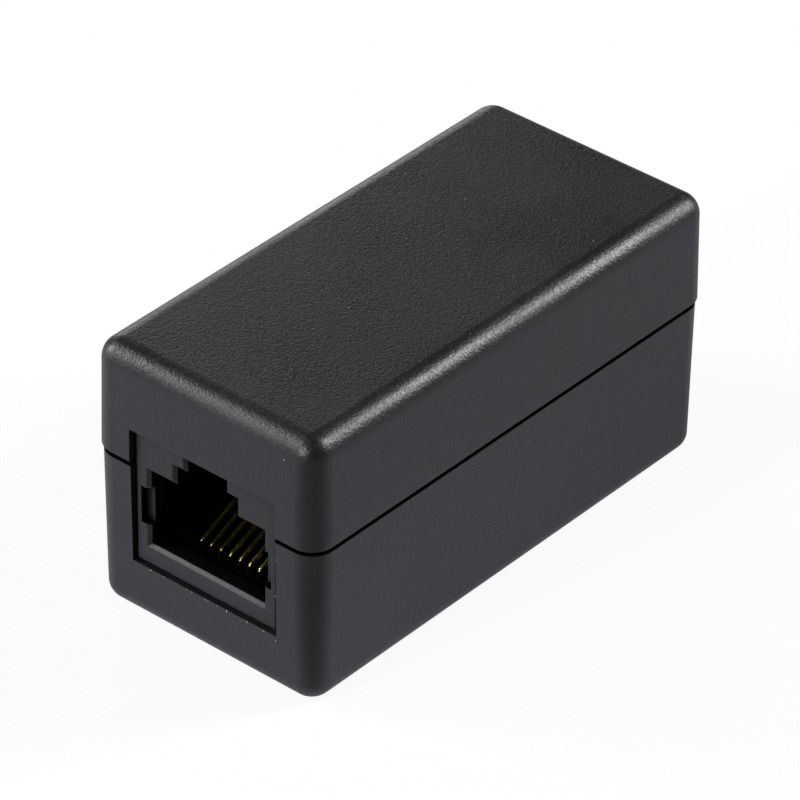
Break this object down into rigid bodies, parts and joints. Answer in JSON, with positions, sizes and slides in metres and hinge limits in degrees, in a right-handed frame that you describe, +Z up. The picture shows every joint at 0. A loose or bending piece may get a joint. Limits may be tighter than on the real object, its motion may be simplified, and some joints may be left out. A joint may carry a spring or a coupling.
{
  "type": "rj45 inline coupler",
  "caption": "Black two-shell inline coupler that joins two network patch leads, with a modular jack at each end and sprung gold contact wires.",
  "frame": {"origin": "middle of the flat face that the coupler rests on", "axes": "+Z up, out of the shell with the keyways; Y along the coupler, the front jack opening towards -Y; X across it"},
  "size_m": [0.0234, 0.0486, 0.025],
  "materials": {
    "case_shell": "black ABS moulded in a spark-eroded tool, fine satin grain",
    "jack_moulding": "black glass-filled polyester, smooth moulded",
    "contact_wire": "phosphor bronze wire, gold plated",
    "board_laminate": "glass-epoxy laminate under green solder resist",
    "solder": "tin solder, slightly dulled"
  },
  "bodies": {
    "root": {"upper_shell": "case_shell", "lower_shell": "case_shell", "circuit_board": "board_laminate", "front_jack_housing": "jack_moulding", "front_contact_insert": "jack_moulding", "front_contact_1": "contact_wire", "front_contact_2": "contact_wire", "front_contact_3": "contact_wire", "front_contact_4": "contact_wire", "front_contact_5": "contact_wire", "front_contact_6": "contact_wire", "front_contact_7": "contact_wire", "front_contact_8": "contact_wire", "front_solder_joints": "solder", "rear_jack_housing": "jack_moulding", "rear_contact_insert": "jack_moulding", "rear_contact_1": "contact_wire", "rear_contact_2": "contact_wire", "rear_contact_3": "contact_wire", "rear_contact_4": "contact_wire", "rear_contact_5": "contact_wire", "rear_contact_6": "contact_wire", "rear_contact_7": "contact_wire", "rear_contact_8": "contact_wire", "rear_solder_joints": "solder"}
  },
  "joints": []
}
